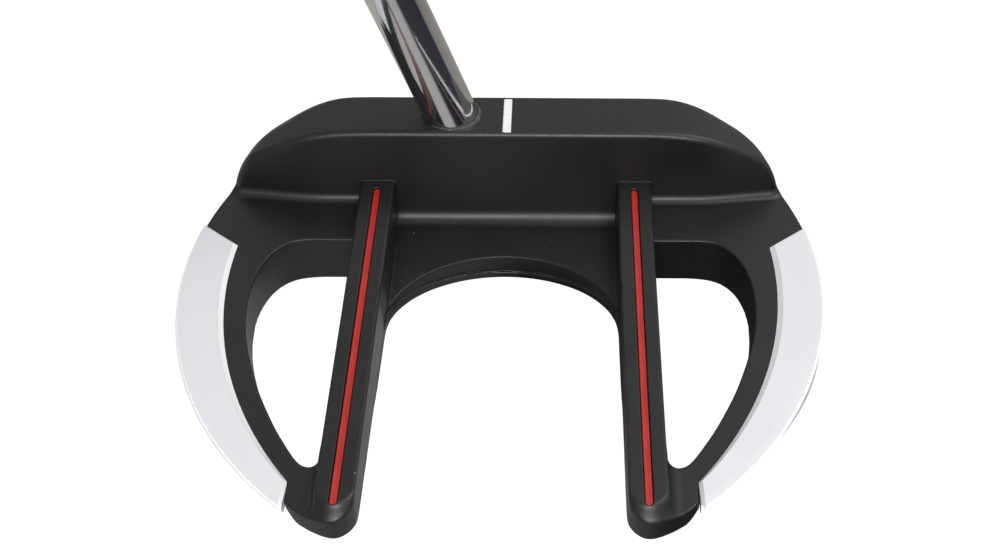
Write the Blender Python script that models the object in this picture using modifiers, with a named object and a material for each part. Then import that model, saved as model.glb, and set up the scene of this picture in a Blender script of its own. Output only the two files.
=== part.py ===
"""Mallet putter, right-handed: cast head with two open wings, two raised
sight rails, white wing caps, stepped steel shaft and paddle grip.

Frame: +X towards the toe, +Y towards the target (the face side), +Z up.
Origin on the sole plane, on the head's centreline, in the middle of the sole's
flat strip, SOLE_MID behind the leading edge.  The dimensions below are measured
from the leading edge, and the finished pieces are moved by SOLE_MID at the end.
Lengths are given in millimetres and scaled to metres by MM.
"""
import math

import bmesh
import bpy
from mathutils import Matrix, Vector

MM = 0.001
NAME = "mallet_putter"
SIDES = ((1, "toe"), (-1, "heel"))
SHARP_DEG = 32.0          # edges sharper than this are shaded sharp
TIDY_DIST = 2e-6          # metres, vertices closer than this are merged
FINE_DIST = 1e-7          # metres, the same for outlines and thin turned pieces

# ---------------------------------------------------------------- front block
LOFT_DEG = 3.0            # face loft
HEAD_H = 25.0             # crest height over the sole
SOLE_MID = 8.0            # leading edge to the middle of the sole's flat strip
CREST_REAR_Y = -13.0      # rear edge of the crest
WALL_FOOT_Y = -13.9       # rear wall at floor height
FACE_TOP_R = 1.5          # front edge of the crest
CREST_REAR_R = 1.15       # rear edge of the crest
BLANK_Z = -2.0            # bottom of the uncut block and plate
BLOCK_HALF = 50.0         # half-length of the block
ROUND_X = 28.5            # from here outward the front edge gets rounder
ROUND_SPAN = 17.0         # distance over which it does so
ROUND_SEG = 8
REAR_SEG = 5
FRONT_BEND_X = 44.4       # from here outward the front follows the wing's arc
FRONT_BEND_IN = 0.15      # inset from that arc

# ------------------------------------------------------------ plate and floors
FLOOR_Z = 10.8            # top of the wings and side floors
POCKET_Z = 6.5            # floor between the rails
POCKET_FILLET = 2.4
POCKET_WALL_SHIFT = 0.02  # pocket's front wall, ahead of the rear wall's foot
FLOOR_FILLET = 1.5
FILLET_HALF = 48.6        # half-length of the fillet strip
FILLET_SINK = 0.6         # how far the strip is buried in wall and floor
FILLET_LIP = 0.02         # its upper edge, inside the wall
PLATE_FRONT_Y = -0.9      # front end of the plate's side arcs

# --------------------------------------------------------- wings and openings
WING_C = (-9.4, -35.9)    # centre of the toe wing's outer arc
WING_R = 64.7
CAP_C = (-24.97, -34.37)  # centre of the cap's and the window's arcs
CAP_R = 72.5              # cap's inner arc
WINDOW_R = 68.4           # window's outer side
WINDOW_ARC_Y = (-36.0, -76.4)   # its front and rear ends
WINDOW_FRONT_Y = -25.8

FOOT_X = 31.2             # where the cap ends and the black foot begins
FOOT_Y = -84.3

# plan of the toe side's foot and rear edge, (x, y), running inward
FOOT_OUTLINE = [(FOOT_X, FOOT_Y), (28.9, -86.1), (26.2, -87.8), (24.0, -88.3), (15.0, -88.3)]
# toe window in plan, (x, y): outline before and after its arc
WINDOW_FRONT = [(26.2, WINDOW_FRONT_Y), (34.6, WINDOW_FRONT_Y), (37.3, -26.35),
                (39.6, -28.0), (41.5, -30.4), (42.8, -33.2)]
WINDOW_REAR = [(28.7, -77.3), (27.9, -77.55), (27.0, -77.3), (26.2, -76.6)]

OPENING_HALF = 20.45      # half-width of the pocket and the centre opening
UPPER_HALF = 20.6         # half-width of the opening's upper part
UPPER_DEPTH = 2.6         # upper part's depth below the pocket floor
ARCH_A = 20.4             # elliptical front end of the opening: half-width
ARCH_B = 17.4             # and length
ARCH_CY = -43.0
ARCH_STEP = 0.35          # growth of the ellipse in the upper part
ARCH_SEG = 40

# ----------------------------------------------------------------------- rails
RAIL_X = 23.4
RAIL_W = 6.5
RAIL_BASE = 1.0
RAIL_TOP = 13.6
RAIL_EDGE_R = 0.6
RAIL_FRONT_Y = -12.6
RAIL_END_Y = -89.6
RAIL_END_R = 3.1          # rear corners in plan
RAIL_NOSE_R = 1.3         # upper rear edge in side view
RAIL_PLAN_OVER = 0.01     # plan trimmer beyond the rail's sides

# underside: flat strip, smooth rise, then a straight slope to the rear
SWEEP_Y = -15.0
SWEEP_LENGTH = 28.0
SWEEP_RISE = 4.7
SLOPE_Y = -35.0
SLOPE = 0.053

# levels and positions safely outside the head, for cutters
CUT_LOW = -5.0
CUT_HIGH = 40.0
CUT_REAR = -100.0

# ------------------------------------------------------------------- wing caps
CAP_RISE = 0.9            # cap stands proud of the wing
CAP_SEAT = 1.3            # cap plate below the wing's top
CAP_SKIRT = 1.3           # thickness of the cap's outer skirt
CAP_CHAMFER = 0.85
CAP_TOP_INSET = 0.25      # top outline inside the outer arc
CAP_EDGE = 0.05           # upright edge below the chamfer
CAP_OVERLAP = 0.4         # overlap of the cap's parts before they are joined
SKIRT_LIFT = 0.5          # skirt's lower edge over the underside
GAP = 0.3                 # between bonded neighbours
CAP_FRONT_IN = (47.3, -27.3)
CAP_FRONT_OUT = (53.9, -22.0)
CAP_INNER_SEG = 40
CAP_OUTER_SEG = 44
SEAT_Z = FLOOR_Z - CAP_SEAT
CAP_END_X = FOOT_X + GAP
FILM_INSET = 0.8          # adhesive film inside the cap's inner and end edges
FILM_OUTER_INSET = 2.6    # and inside its outer arc
FILM_CLEAR = 0.06         # above and below the film

# the cap's front edge is a straight line in this direction; where it meets an
# arc is found by stepping along it
FRONT_DIR = (Vector(CAP_FRONT_OUT) - Vector(CAP_FRONT_IN)).normalized()
CORNER_STEPS = 50         # steps per millimetre in search of the inner corner
CORNER_REACH = 3          # millimetres searched either way
OUTWARD_STEP = 0.005

# ----------------------------------------------------------------- paint marks
GROOVE_W = 1.5
GROOVE_D = 1.0
GROOVE_FRONT_Y = -15.5
GROOVE_REAR_Y = -86.8
GROOVE_CLEAR = 0.1        # paint to groove sides and floor
GROOVE_FILL_DROP = 0.3    # paint below the rail's top
MARK_W = 1.6
MARK_FRONT_Y = -2.6
MARK_REAR_Y = -12.2
MARK_D = 0.9
MARK_CLEAR = 0.12
MARK_FLOOR_CLEAR = 0.1
MARK_FILL_DROP = 0.06     # paint below the crest

# ----------------------------------------------------------------------- shaft
# positions along the shaft are measured from crest height, up the axis
LIE = math.radians(71.0)   # shaft lie
SHAFT_AT = (-10.23, -7.1)  # shaft axis at crest height
SHAFT_TIP_R = 4.7
SHAFT_BUTT_R = 7.35
SHAFT_WALL = 0.5
SHAFT_SEG = 48
BORE_DEPTH = 18.0
BORE_R = 5.05
TIP_CLEAR = 0.8            # shaft tip to bore floor
EPOXY_IN_R = 4.76
EPOXY_OUT_R = 4.99
EPOXY_FLOOR_CLEAR = 0.2
EPOXY_DROP = 0.25          # adhesive's top below the crest
CLUB_LENGTH = 889.0        # along the shaft, ground to butt cap
STEP_START = 215.0
STEP_PITCH = 38.0
STEP_COUNT = 10
STEP_RAMP = 0.6            # length of the taper at each step

# ------------------------------------------------------------------------ grip
GRIP_LENGTH = 268.0
GRIP_SEG = 48
GRIP_LEVELS = 12
MOUTH_LENGTH = 1.2         # tapered lower end
MOUTH_SCALE = 0.90
TAPE_IN_R = 7.47
TAPE_OUT_R = 7.75
TAPE_TOP_IN = 1.0          # tape's ends, inside the grip's
TAPE_LOW_IN = 6.0
GRIP_BORE_R = 7.9
CAP_THICK = 4.5
VENT_R = 1.4
# rounded butt cap: (height over the butt, scale of the grip's section)
BUTT_LEVELS = ((0.3, 1.0), (2.4, 1.0), (3.6, 0.955), (4.3, 0.86), (CAP_THICK, 0.72))

BUTT_Z = CLUB_LENGTH - HEAD_H / math.sin(LIE) - CAP_THICK
GRIP_LOW_Z = BUTT_Z - GRIP_LENGTH

# local z runs up the shaft towards the heel, local x points towards the toe
SHAFT = (Matrix.Translation(Vector((*SHAFT_AT, HEAD_H)) * MM)
         @ Matrix(((math.sin(LIE), 0, -math.cos(LIE)),
                   (0, 1, 0),
                   (math.cos(LIE), 0, math.sin(LIE)))).to_4x4())

# ------------------------------------------------------------------- set-up
for old in list(bpy.data.objects):
    bpy.data.objects.remove(old, do_unlink=True)

parts = bpy.data.collections.new(NAME)
cutters = bpy.data.collections.new(NAME + "_cutters")
bpy.context.scene.collection.children.link(parts)
bpy.context.scene.collection.children.link(cutters)

# drawing plane: (rotation of the outline, direction it is extruded in)
PLANES = {
    "XY": (Matrix(((1, 0, 0), (0, 1, 0), (0, 0, 1))), Vector((0, 0, 1))),
    "YZ": (Matrix(((0, 0, 1), (1, 0, 0), (0, 1, 0))), Vector((1, 0, 0))),
    "XZ": (Matrix(((1, 0, 0), (0, 0, -1), (0, 1, 0))), Vector((0, 1, 0))),
}


# ------------------------------------------------------------- object helpers
def material(name, colour, roughness, metallic=0.0):
    mat = bpy.data.materials.new(name)
    mat.use_nodes = True
    bsdf = mat.node_tree.nodes["Principled BSDF"]
    bsdf.inputs["Base Color"].default_value = (*colour, 1.0)
    bsdf.inputs["Roughness"].default_value = roughness
    bsdf.inputs["Metallic"].default_value = metallic
    mat.diffuse_color = (*colour, 1.0)
    return mat


def new_object(name, mesh):
    obj = bpy.data.objects.new(name, mesh)
    parts.objects.link(obj)
    return obj


def object_from(name, bm):
    mesh = bpy.data.meshes.new(name)
    bm.to_mesh(mesh)
    bm.free()
    return new_object(name, mesh)


def mark_cutter(obj):
    parts.objects.unlink(obj)
    cutters.objects.link(obj)
    obj.hide_render = True
    obj.display_type = 'WIRE'


def evaluated_mesh(obj):
    bpy.context.view_layer.update()
    deps = bpy.context.evaluated_depsgraph_get()
    return bpy.data.meshes.new_from_object(obj.evaluated_get(deps))


def bake(obj):
    """Replace the object's mesh with its evaluated one, in world space."""
    mesh = evaluated_mesh(obj)
    mesh.transform(obj.matrix_world)
    obj.modifiers.clear()
    obj.data = mesh
    obj.matrix_world = Matrix.Identity(4)
    bpy.context.view_layer.update()


def combine(obj, other, how, keep=False):
    """Boolean of two objects; other is removed, or kept as a hidden cutter."""
    mod = obj.modifiers.new("boolean", 'BOOLEAN')
    mod.operation = how
    mod.solver = 'EXACT'
    mod.object = other
    bake(obj)
    if keep:
        mark_cutter(other)
    else:
        bpy.data.objects.remove(other, do_unlink=True)


def carve(obj, cutter):
    combine(obj, cutter, 'DIFFERENCE', keep=True)


def tidy(obj, dist=TIDY_DIST):
    bm = bmesh.new()
    bm.from_mesh(obj.data)
    bmesh.ops.remove_doubles(bm, verts=bm.verts, dist=dist)
    bmesh.ops.dissolve_degenerate(bm, dist=dist, edges=bm.edges)
    bmesh.ops.dissolve_limit(bm, angle_limit=math.radians(0.3),
                             verts=bm.verts, edges=bm.edges)
    bmesh.ops.recalc_face_normals(bm, faces=bm.faces)
    bm.to_mesh(obj.data)
    bm.free()


def finish(obj, name, mat):
    obj.name = name
    obj.data.name = name
    obj.data.materials.clear()
    obj.data.materials.append(mat)
    obj.data.shade_smooth()
    obj.data.set_sharp_from_angle(angle=math.radians(SHARP_DEG))


def finish_pair(toe, name, mat):
    """Finish a toe-side piece and its mirror image on the heel side."""
    bm = bmesh.new()
    bm.from_mesh(toe.data)
    bmesh.ops.scale(bm, vec=(-1, 1, 1), verts=bm.verts)
    bmesh.ops.reverse_faces(bm, faces=bm.faces)
    heel = object_from(name + "_heel", bm)
    finish(toe, name + "_toe", mat)
    finish(heel, name + "_heel", mat)


# -------------------------------------------------------------- shape helpers
def arc(centre, radius, start, end, count):
    """Points on an arc from angle start to angle end, in radians."""
    angles = [start + (end - start) * i / count for i in range(count + 1)]
    return [(centre[0] + radius * math.cos(angle), centre[1] + radius * math.sin(angle))
            for angle in angles]


def angle_of(centre, x, y):
    return math.atan2(y - centre[1], x - centre[0])


def circle_rear_y(centre, radius, x):
    """y of the circle's rear half at x."""
    return centre[1] - math.sqrt(radius ** 2 - (x - centre[0]) ** 2)


def on_side(side, points):
    return [(side * x, y) for x, y in points]


def ring_at(points, z):
    return [(x, y, z) for x, y in points]


def rounded(corners, seg):
    """Polygon from (x, y, radius) corners, each corner turned into an arc."""
    out = []
    count = len(corners)
    for i, (x, y, radius) in enumerate(corners):
        if radius <= 0:
            out.append((x, y))
            continue
        corner = Vector((x, y))
        before = Vector(corners[i - 1][:2]) - corner
        after = Vector(corners[(i + 1) % count][:2]) - corner
        before.normalize()
        after.normalize()
        half = math.acos(max(-1.0, min(1.0, before.dot(after)))) / 2
        tangent = radius / math.tan(half)
        centre = corner + (before + after).normalized() * (radius / math.sin(half))
        first = corner + before * tangent - centre
        last = corner + after * tangent - centre
        start = math.atan2(first.y, first.x)
        turn = (math.atan2(last.y, last.x) - start + math.pi) % (2 * math.pi) - math.pi
        out += arc(centre, radius, start, start + turn, seg)
    return out


def prism(name, points, low, high, plane="XY"):
    """Flat outline in a plane, extruded from low to high across it."""
    curve = bpy.data.curves.new(name, 'CURVE')
    curve.dimensions = '2D'
    curve.fill_mode = 'BOTH'
    curve.extrude = (high - low) / 2 * MM
    spline = curve.splines.new('POLY')
    spline.points.add(len(points) - 1)
    for point, (x, y) in zip(spline.points, points):
        point.co = (x * MM, y * MM, 0, 1)
    spline.use_cyclic_u = True
    outline = new_object(name + "_outline", curve)
    turn, normal = PLANES[plane]
    middle = (low + high) / 2 * MM
    outline.matrix_world = Matrix.Translation(normal * middle) @ turn.to_4x4()
    mesh = evaluated_mesh(outline)
    world = outline.matrix_world.copy()
    bpy.data.objects.remove(outline, do_unlink=True)

    bm = bmesh.new()
    bm.from_mesh(mesh)
    bmesh.ops.remove_doubles(bm, verts=bm.verts, dist=FINE_DIST)
    bmesh.ops.dissolve_limit(bm, angle_limit=math.radians(0.05),
                             verts=bm.verts, edges=bm.edges)
    bmesh.ops.transform(bm, matrix=world, verts=bm.verts)
    bmesh.ops.recalc_face_normals(bm, faces=bm.faces)
    bm.to_mesh(mesh)
    bm.free()
    return new_object(name, mesh)


def loft(name, rings, matrix=Matrix.Identity(4)):
    """Closed solid through rings of (x, y, z) points, placed by matrix."""
    bm = bmesh.new()
    loops = [[bm.verts.new(matrix @ (Vector(point) * MM)) for point in ring] for ring in rings]
    count = len(loops[0])
    for near, far in zip(loops, loops[1:]):
        for i in range(count):
            j = (i + 1) % count
            bm.faces.new((near[i], near[j], far[j], far[i]))
    bm.faces.new(loops[0][::-1])
    bm.faces.new(loops[-1])
    bmesh.ops.recalc_face_normals(bm, faces=bm.faces)
    return object_from(name, bm)


def shaft_bar(name, radius, low, high, seg=64):
    """Round bar on the shaft's axis."""
    bm = bmesh.new()
    middle = Matrix.Translation((0, 0, (low + high) / 2 * MM))
    bmesh.ops.create_cone(bm, cap_ends=True, segments=seg, radius1=radius * MM,
                          radius2=radius * MM, depth=(high - low) * MM,
                          matrix=SHAFT @ middle)
    return object_from(name, bm)


def shaft_turned(name, profile):
    """Turned piece on the shaft's axis: (radius, z) run down its outer side and up its inner."""
    mesh = bpy.data.meshes.new(name)
    verts = [(radius * MM, 0, z * MM) for radius, z in profile]
    count = len(verts)
    mesh.from_pydata(verts, [(i, (i + 1) % count) for i in range(count)], [])
    obj = new_object(name, mesh)
    obj.matrix_world = SHAFT
    screw = obj.modifiers.new("turn", 'SCREW')
    screw.steps = SHAFT_SEG
    screw.render_steps = SHAFT_SEG
    screw.use_merge_vertices = True
    screw.merge_threshold = 1e-6
    screw.use_smooth_shade = True
    bake(obj)
    tidy(obj, FINE_DIST)
    return obj


# ---------------------------------------------------------------- front block
# (distance from the centreline, crest height, y of the crest's rear edge)
STATIONS = (
    (0.0, 25.0, CREST_REAR_Y), (28.0, 24.95, CREST_REAR_Y), (31.5, 24.4, CREST_REAR_Y),
    (34.5, 23.5, CREST_REAR_Y), (37.0, 22.4, -12.95), (39.0, 21.4, -12.9),
    (41.0, 20.5, -12.75), (43.0, 19.6, -12.6), (45.0, 18.6, -12.4),
    (47.0, 17.2, -12.15), (48.5, 15.4, -12.0), (49.5, 13.4, -11.9),
    (BLOCK_HALF, 11.9, -11.8),
)
CREST, REAR = 1, 2        # columns of STATIONS

# how far the rear wall moves back per millimetre of depth below the crest
LEAN = (CREST_REAR_Y - WALL_FOOT_Y) / (HEAD_H - FLOOR_Z)


def station(x, column):
    """Smooth interpolation of a column of STATIONS (cubic between stations)."""
    x = abs(x)
    table = [(row[0], row[column]) for row in STATIONS]
    for i in range(len(table) - 1):
        x0, v0 = table[i]
        x1, v1 = table[i + 1]
        if x <= x1:
            x_before, v_before = table[max(i - 1, 0)]
            x_after, v_after = table[min(i + 2, len(table) - 1)]
            slope0 = (v1 - v_before) / (x1 - x_before) if i > 1 else 0.0
            slope1 = (v_after - v0) / (x_after - x0) if i > 0 else 0.0
            h = x1 - x0
            t = (x - x0) / h
            return ((2 * t ** 3 - 3 * t ** 2 + 1) * v0
                    + (t ** 3 - 2 * t ** 2 + t) * h * slope0
                    + (-2 * t ** 3 + 3 * t ** 2) * v1
                    + (t ** 3 - t ** 2) * h * slope1)
    return table[-1][1]


def face_y(z):
    return -z * math.tan(math.radians(LOFT_DEG))


def block_section(x):
    """Ring of the front block at x, along the head."""
    x_out = abs(x)
    top = station(x, CREST)
    rear = station(x, REAR)
    front = 0.0
    if x_out > FRONT_BEND_X:
        radius = WING_R - FRONT_BEND_IN
        front = min(0.0, WING_C[1] + math.sqrt(radius ** 2 - (x_out - WING_C[0]) ** 2))
    depth = face_y(top) + front - rear
    # front edge: a quarter ellipse, growing towards the ends
    grow = max(0.0, min(1.0, (x_out - ROUND_X) / ROUND_SPAN))
    round_y = min(FACE_TOP_R + 5.6 * grow ** 1.3, 0.55 * depth)
    round_z = min(FACE_TOP_R + 8.5 * grow ** 1.4, top - 1.6)
    rear_r = min(CREST_REAR_R, 0.35 * depth)
    round_low = top - round_z
    face = front + face_y(round_low)
    points = [(rear - LEAN * (top - BLANK_Z), BLANK_Z),
              (front + face_y(BLANK_Z), BLANK_Z),
              (face, round_low)]
    for k in range(1, ROUND_SEG + 1):
        angle = math.pi / 2 * k / ROUND_SEG
        points.append((face - round_y * (1 - math.cos(angle)),
                       round_low + round_z * math.sin(angle)))
    for k in range(REAR_SEG + 1):
        angle = math.pi / 2 * k / REAR_SEG
        points.append((rear + rear_r - rear_r * math.sin(angle),
                       top - rear_r + rear_r * math.cos(angle)))
    return [(x, y, z) for y, z in points]


def build_block():
    half = [ROUND_X * i / 3 for i in range(4)]
    half += [ROUND_X + (BLOCK_HALF - ROUND_X) * i / 26 for i in range(1, 27)]
    xs = [-x for x in reversed(half[1:])] + half
    return loft("block", [block_section(x) for x in xs])


def fillet_section(x):
    wall = station(x, REAR) - LEAN * (station(x, CREST) - FLOOR_Z)
    upper = FLOOR_Z + FLOOR_FILLET
    points = [(wall + FILLET_SINK, FLOOR_Z - FILLET_SINK), (wall + FILLET_SINK, upper),
              (wall + FILLET_LIP, upper)]
    for i in range(1, 6):
        angle = math.pi / 2 * i / 5
        points.append((wall - FLOOR_FILLET * (1 - math.cos(angle)),
                       FLOOR_Z + FLOOR_FILLET * (1 - math.sin(angle))))
    points.append((wall - FLOOR_FILLET, FLOOR_Z - FILLET_SINK))
    return [(x, y, z) for y, z in points]


def build_fillet():
    """Fillet strip along the foot of the rear wall, following its curve."""
    xs = [-FILLET_HALF + 2 * FILLET_HALF * i / 60 for i in range(61)]
    return loft("fillet", [fillet_section(x) for x in xs])


# ------------------------------------------------------------------ head body
def build_plate():
    """Lower plate: wings, side floors and feet."""
    front = math.asin((PLATE_FRONT_Y - WING_C[1]) / WING_R)
    rear = math.asin((circle_rear_y(WING_C, WING_R, FOOT_X) - WING_C[1]) / WING_R)
    toe = arc(WING_C, WING_R, front, rear, 40) + FOOT_OUTLINE
    return prism("plate", toe + on_side(-1, reversed(toe)), BLANK_Z, FLOOR_Z)


def carve_pocket(body):
    """Pocket between the rails, with its own fillet."""
    wall = WALL_FOOT_Y + POCKET_WALL_SHIFT
    rear = -70
    outline = rounded([(rear, POCKET_Z, 0), (rear, CUT_HIGH, 0),
                       (wall + LEAN * (CUT_HIGH - FLOOR_Z), CUT_HIGH, 0),
                       (wall + LEAN * (POCKET_Z - FLOOR_Z), POCKET_Z, POCKET_FILLET)], 6)
    carve(body, prism("pocket_cut", outline, -OPENING_HALF, OPENING_HALF, "YZ"))


def opening_outline(half, grow):
    """Centre opening, closed in front by a half ellipse."""
    angles = [math.pi * i / ARCH_SEG for i in range(1, ARCH_SEG)]
    ellipse = [((ARCH_A + grow) * math.cos(angle), ARCH_CY + (ARCH_B + grow) * math.sin(angle))
               for angle in angles]
    return ([(half, CUT_REAR), (half, ARCH_CY)] + ellipse
            + [(-half, ARCH_CY), (-half, CUT_REAR)])


def carve_opening(body):
    carve(body, prism("arch_cut", opening_outline(OPENING_HALF, 0.0), CUT_LOW, CUT_HIGH))
    carve(body, prism("arch_step_cut", opening_outline(UPPER_HALF, ARCH_STEP),
                      POCKET_Z - UPPER_DEPTH, CUT_HIGH))


def carve_windows(body):
    """D-shaped windows between the rails and the wings."""
    front, rear = [math.asin((y - CAP_C[1]) / WINDOW_R) for y in WINDOW_ARC_Y]
    window = WINDOW_FRONT + arc(CAP_C, WINDOW_R, front, rear, 22) + WINDOW_REAR
    for side, tag in SIDES:
        carve(body, prism("window_cut_" + tag, on_side(side, window), CUT_LOW, CUT_HIGH))


def build_rail(x, tag):
    left = x - RAIL_W / 2
    right = x + RAIL_W / 2
    section = rounded([(left, RAIL_BASE, 0), (right, RAIL_BASE, 0),
                       (right, RAIL_TOP, RAIL_EDGE_R), (left, RAIL_TOP, RAIL_EDGE_R)], 3)
    rail = prism("rail_" + tag, section, RAIL_END_Y - 2, RAIL_FRONT_Y, "XZ")

    # rear corners rounded in plan
    over = RAIL_PLAN_OVER
    plan = rounded([(left - 1, -10, 0), (left - 1, RAIL_END_Y + 9, 0),
                    (left - over, RAIL_END_Y + 8, 0),
                    (left - over, RAIL_END_Y, RAIL_END_R),
                    (right + over, RAIL_END_Y, RAIL_END_R),
                    (right + over, RAIL_END_Y + 8, 0),
                    (right + 1, RAIL_END_Y + 9, 0), (right + 1, -10, 0)], 6)
    combine(rail, prism("rail_plan", plan, -2, 20), 'INTERSECT')

    # upper rear edge rounded in side view
    nose = rounded([(RAIL_END_Y, 0, 0), (RAIL_END_Y, RAIL_TOP, RAIL_NOSE_R),
                    (5, RAIL_TOP, 0), (5, RAIL_TOP + 5, 0),
                    (-95, RAIL_TOP + 5, 0), (-95, 0, 0)], 4)
    combine(rail, prism("rail_nose", nose, x - 6, x + 6, "YZ"), 'DIFFERENCE')
    return rail


def under(y):
    """Height of the underside: flat in front, swept up towards the rear."""
    t = max(0.0, min(1.0, (SWEEP_Y - y) / SWEEP_LENGTH))
    return SWEEP_RISE * t * t * (3 - 2 * t) + SLOPE * max(0.0, SLOPE_Y - y)


def under_outline(front, length, count, lift, base):
    """Side view of the space below the underside raised by lift, down to base."""
    ys = [front - i * length / count for i in range(count + 1)]
    return [(ys[0], base)] + [(y, under(y) + lift) for y in ys] + [(ys[-1], base)]


def build_body():
    body = build_block()
    combine(body, build_plate(), 'UNION')
    combine(body, build_fillet(), 'UNION')
    carve_pocket(body)
    carve_opening(body)
    carve_windows(body)
    for side, tag in SIDES:
        combine(body, build_rail(side * RAIL_X, tag), 'UNION')
    sweep = under_outline(front=3.0, length=98.0, count=48, lift=0.0, base=-6)
    carve(body, prism("under_cut", sweep, -62, 62, "YZ"))
    return body


# ---------------------------------------------------------- cap outlines (toe)
def front_corner(grow):
    """Inner end of the cap's front edge, the outline grown by grow."""
    radius = CAP_R - grow
    foot = Vector(CAP_FRONT_IN) + Vector((-FRONT_DIR.y, FRONT_DIR.x)) * grow

    def miss(step):
        return abs(math.hypot(foot.x + FRONT_DIR.x * step / CORNER_STEPS - CAP_C[0],
                              foot.y + FRONT_DIR.y * step / CORNER_STEPS - CAP_C[1]) - radius)

    reach = CORNER_REACH * CORNER_STEPS
    return foot + FRONT_DIR * min(range(-reach, reach), key=miss) / CORNER_STEPS


def front_meets(corner, radius):
    """Point where the front edge, run outward from corner, reaches a wing arc."""
    run = 0.0
    while math.hypot(corner.x + FRONT_DIR.x * run - WING_C[0],
                     corner.y + FRONT_DIR.y * run - WING_C[1]) < radius:
        run += OUTWARD_STEP
    return corner + FRONT_DIR * run


def inner_edge(corner, grow, end_x):
    """Inner arc, from the front corner to end_x."""
    radius = CAP_R - grow
    front = angle_of(CAP_C, corner.x, corner.y)
    rear = angle_of(CAP_C, end_x, circle_rear_y(CAP_C, radius, end_x))
    return arc(CAP_C, radius, front, rear, CAP_INNER_SEG)


def wing_angles(corner, radius, end_x):
    """Rear and front end of a wing arc, from end_x to the front edge."""
    top = front_meets(corner, radius)
    rear = angle_of(WING_C, end_x, circle_rear_y(WING_C, radius, end_x))
    return rear, angle_of(WING_C, top.x, top.y)


def outer_edge(corner, radius, end_x):
    rear, front = wing_angles(corner, radius, end_x)
    return arc(WING_C, radius, rear, front, CAP_OUTER_SEG)


def crescent(grow, end_x, outset):
    """Closed crescent: inner arc, rear edge, outer arc, front edge."""
    inner = inner_edge(front_corner(grow), grow, end_x)
    return inner + outer_edge(Vector(inner[0]), WING_R + outset, end_x)


def cap_top_outline():
    """Top of the raised part: stepped in by the chamfer, less so outside."""
    corner = front_corner(-CAP_CHAMFER)
    end_x = CAP_END_X + CAP_CHAMFER
    return (inner_edge(corner, -CAP_CHAMFER, end_x)
            + outer_edge(corner, WING_R - CAP_TOP_INSET, end_x))


# ------------------------------------------------------- cuts in the head body
def carve_cap_seats(body):
    seat = crescent(GAP, FOOT_X, 5.0)
    # outer band, cleared for the skirt, its ends squared to the cap's own edges
    corner = Vector(seat[0])
    radius = WING_R - (CAP_SKIRT + GAP)
    rear, front = wing_angles(corner, radius, FOOT_X)
    front_end = front_meets(corner, radius) + FRONT_DIR * 10
    band = arc(WING_C, radius, front, rear, CAP_OUTER_SEG)
    band += [(FOOT_X, -96.0)]
    band += arc(WING_C, WING_R + 6, rear, front, CAP_OUTER_SEG)[1:-1]
    band += [(front_end.x, front_end.y)]
    for side, tag in SIDES:
        carve(body, prism("cap_seat_cut_" + tag, on_side(side, seat), SEAT_Z - GAP, CUT_HIGH))
        carve(body, prism("skirt_cut_" + tag, on_side(side, band), CUT_LOW, CUT_HIGH))


def groove_outline(x, radius):
    """Round-ended slot along a rail."""
    front = (x, GROOVE_FRONT_Y - GROOVE_W / 2)
    rear = (x, GROOVE_REAR_Y + GROOVE_W / 2)
    return (arc(front, radius, 0, math.pi, 8)
            + arc(rear, radius, math.pi, 2 * math.pi, 8))


def mark_outline(inset):
    half = MARK_W / 2 - inset
    rear = MARK_REAR_Y + inset
    front = MARK_FRONT_Y - inset
    return [(-half, rear), (half, rear), (half, front), (-half, front)]


def carve_marks(body):
    """Grooves along the rails, and the slot across the crest."""
    for side, tag in SIDES:
        carve(body, prism("groove_cut_" + tag, groove_outline(side * RAIL_X, GROOVE_W / 2),
                          RAIL_TOP - GROOVE_D, 20))
    carve(body, prism("mark_cut", mark_outline(0.0), HEAD_H - MARK_D, CUT_HIGH))


def make_head(mat):
    head = build_body()
    carve_cap_seats(head)
    carve_marks(head)
    carve(head, shaft_bar("bore_cut", BORE_R, -BORE_DEPTH, 14))
    tidy(head)
    finish(head, "head_body", mat)


# ------------------------------------------------------------------- wing caps
def build_cap_skirt(outline):
    """Skirt down the outside of the wing."""
    inner = outer_edge(Vector(outline[0]), WING_R - CAP_SKIRT, CAP_END_X)
    ring = outline[CAP_INNER_SEG + 1:] + inner[::-1]
    skirt = prism("cap_skirt", ring, -3, SEAT_Z + CAP_OVERLAP)
    below = under_outline(front=-10.0, length=84.0, count=42, lift=SKIRT_LIFT, base=-8)
    combine(skirt, prism("skirt_foot", below, 0, 70, "YZ"), 'DIFFERENCE')
    return skirt


def make_caps(mat):
    outline = crescent(0.0, CAP_END_X, 0.0)
    cap = prism("cap_plate", outline, SEAT_Z, FLOOR_Z)
    # raised part with chamfered inner, front and rear edges
    rise = loft("cap_rise", [ring_at(outline, FLOOR_Z - CAP_OVERLAP),
                             ring_at(outline, FLOOR_Z + CAP_EDGE),
                             ring_at(cap_top_outline(), FLOOR_Z + CAP_RISE)])
    combine(cap, rise, 'UNION')
    combine(cap, build_cap_skirt(outline), 'UNION')
    tidy(cap)
    finish_pair(cap, "wing_cap", mat)


def make_cap_adhesive(mat):
    """Thin adhesive film under each cap plate."""
    outline = crescent(-FILM_INSET, CAP_END_X + FILM_INSET, -FILM_OUTER_INSET)
    film = prism("film", outline, SEAT_Z - GAP + FILM_CLEAR, SEAT_Z - FILM_CLEAR)
    finish_pair(film, "cap_adhesive", mat)


# ---------------------------------------------------------------- paint fills
def make_sight_lines(mat):
    for side, tag in SIDES:
        outline = groove_outline(side * RAIL_X, GROOVE_W / 2 - GROOVE_CLEAR)
        fill = prism("fill", outline, RAIL_TOP - GROOVE_D + GROOVE_CLEAR,
                     RAIL_TOP - GROOVE_FILL_DROP)
        finish(fill, "sight_line_" + tag, mat)


def make_alignment_mark(mat):
    fill = prism("fill", mark_outline(MARK_CLEAR), HEAD_H - MARK_D + MARK_FLOOR_CLEAR,
                 HEAD_H - MARK_FILL_DROP)
    finish(fill, "alignment_mark", mat)


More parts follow.
